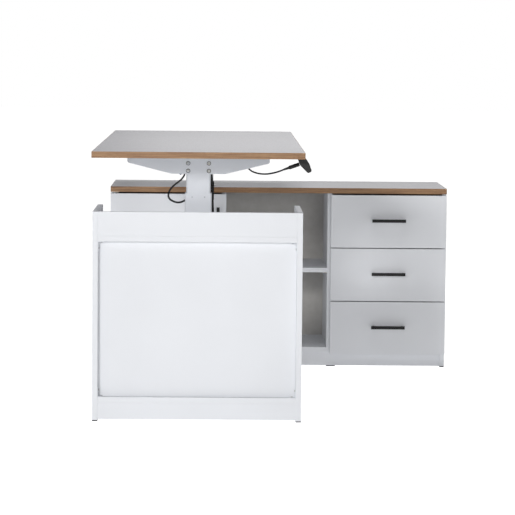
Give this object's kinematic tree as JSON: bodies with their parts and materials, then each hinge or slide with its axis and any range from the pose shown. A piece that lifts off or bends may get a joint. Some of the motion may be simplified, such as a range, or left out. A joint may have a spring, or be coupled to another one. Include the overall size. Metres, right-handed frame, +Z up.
{
  "type": "height-adjustable corner desk",
  "caption": "Corner desk whose long desktop rises on two steel lifting columns, one in a leg housing and one in a low cabinet with a door, an open bay and drawers.",
  "frame": {"origin": "on the floor, under the middle of the overall outline", "axes": "+X to the right as seen from the leg housing's end, along the cabinet; +Y away from that end, along the desktop; +Z up"},
  "size_m": [1.12, 1.74, 0.778],
  "materials": {
    "white_board": "white melamine-faced chipboard, fine satin",
    "grey_white_top": "light grey-white melamine, satin",
    "oak_edge": "oak-look edge band, satin",
    "white_hardboard": "white painted hardboard",
    "white_steel": "white powder coat, fine texture",
    "zinc_steel": "zinc plated",
    "black_handle": "matt black powder coat",
    "black_plastic": "moulded, fine texture",
    "white_plastic": "moulded acetal",
    "black_cord": "PVC sheath, satin"
  },
  "bodies": {
    "base": {"pedestal_side_left": "white_board", "pedestal_side_right": "white_board", "pedestal_fascia": "white_board", "pedestal_deck": "white_board", "pedestal_panel": "white_board", "pedestal_bottom": "white_board", "pedestal_kick": "white_board", "pedestal_back": "white_board", "cabinet_side_left": "white_board", "cabinet_side_right": "white_board", "cabinet_partition_left": "white_board", "cabinet_partition_right": "white_board", "cabinet_bottom": "white_board", "cabinet_plinth": "white_board", "cabinet_shelf": "white_board", "floor_pads": "black_plastic", "column_tubes": "white_steel", "foot_plates": "zinc_steel", "column_glides": "white_plastic", "nut_posts": "zinc_steel", "cabinet_top": "grey_white_top", "cabinet_edging": "oak_edge", "cabinet_back": "white_hardboard", "runner_rails": "zinc_steel", "hinge_brackets": "zinc_steel", "mains_cord": "black_cord", "mains_coil_and_plug": "black_cord"},
    "door": {"door_panel": "white_board", "door_handle": "black_handle"},
    "drawer_bottom": {"drawer_bottom_face": "white_board", "drawer_bottom_box": "white_board", "drawer_bottom_handle": "black_handle", "drawer_bottom_runners": "zinc_steel"},
    "drawer_middle": {"drawer_middle_face": "white_board", "drawer_middle_box": "white_board", "drawer_middle_handle": "black_handle", "drawer_middle_runners": "zinc_steel"},
    "drawer_top": {"drawer_top_face": "white_board", "drawer_top_box": "white_board", "drawer_top_handle": "black_handle", "drawer_top_runners": "zinc_steel"},
    "lift": {"desktop": "grey_white_top", "desktop_edging": "oak_edge", "inner_tubes": "white_steel", "support_brackets": "white_steel", "side_beams": "white_steel", "gear_motors": "black_plastic", "control_box": "black_plastic", "frame_bolts": "zinc_steel", "desktop_screws": "zinc_steel", "handset": "black_plastic", "handset_plug": "black_plastic", "handset_cord": "black_cord", "motor_cord": "black_cord", "inlet_cord": "black_cord", "power_connector": "black_plastic"},
    "button_up": {"button_up": "black_plastic"},
    "button_down": {"button_down": "black_plastic"},
    "front_spindle": {"front_spindle": "zinc_steel"},
    "rear_spindle": {"rear_spindle": "zinc_steel"}
  },
  "joints": [
    {"name": "desk_lift", "type": "slide", "parent": "base", "child": "lift", "axis": [0, 0, 1], "range_m": [-0.048, 0.4], "deforming": ["mains_cord"]},
    {"name": "front_spindle_turn", "type": "hinge", "parent": "lift", "child": "front_spindle", "pos_m": [-0.258, -0.606, 0.6], "axis": [0, 0, 1], "continuous": true},
    {"name": "rear_spindle_turn", "type": "hinge", "parent": "lift", "child": "rear_spindle", "pos_m": [-0.258, 0.58, 0.6], "axis": [0, 0, 1], "continuous": true},
    {"name": "door_hinge", "type": "hinge", "parent": "base", "child": "door", "pos_m": [-0.554, 0.48, 0.31], "axis": [0, 0, -1], "range_deg": [0, 100]},
    {"name": "drawer_bottom_slide", "type": "slide", "parent": "base", "child": "drawer_bottom", "axis": [0, -1, 0], "range_m": [0, 0.26]},
    {"name": "drawer_middle_slide", "type": "slide", "parent": "base", "child": "drawer_middle", "axis": [0, -1, 0], "range_m": [0, 0.26]},
    {"name": "drawer_top_slide", "type": "slide", "parent": "base", "child": "drawer_top", "axis": [0, -1, 0], "range_m": [0, 0.26]},
    {"name": "button_up_press", "type": "slide", "parent": "lift", "child": "button_up", "axis": [-0.9116, 0, -0.4111], "range_m": [0, 0.001], "stiffness_N_per_m": 2500, "springref_m": -0.0004},
    {"name": "button_down_press", "type": "slide", "parent": "lift", "child": "button_down", "axis": [-0.9116, 0, -0.4111], "range_m": [0, 0.001], "stiffness_N_per_m": 2500, "springref_m": -0.0004}
  ],
  "couplings": [
    {"joint": "front_spindle_turn", "follows": "desk_lift", "rad_per_m": 628.32},
    {"joint": "rear_spindle_turn", "follows": "desk_lift", "rad_per_m": 628.32}
  ]
}
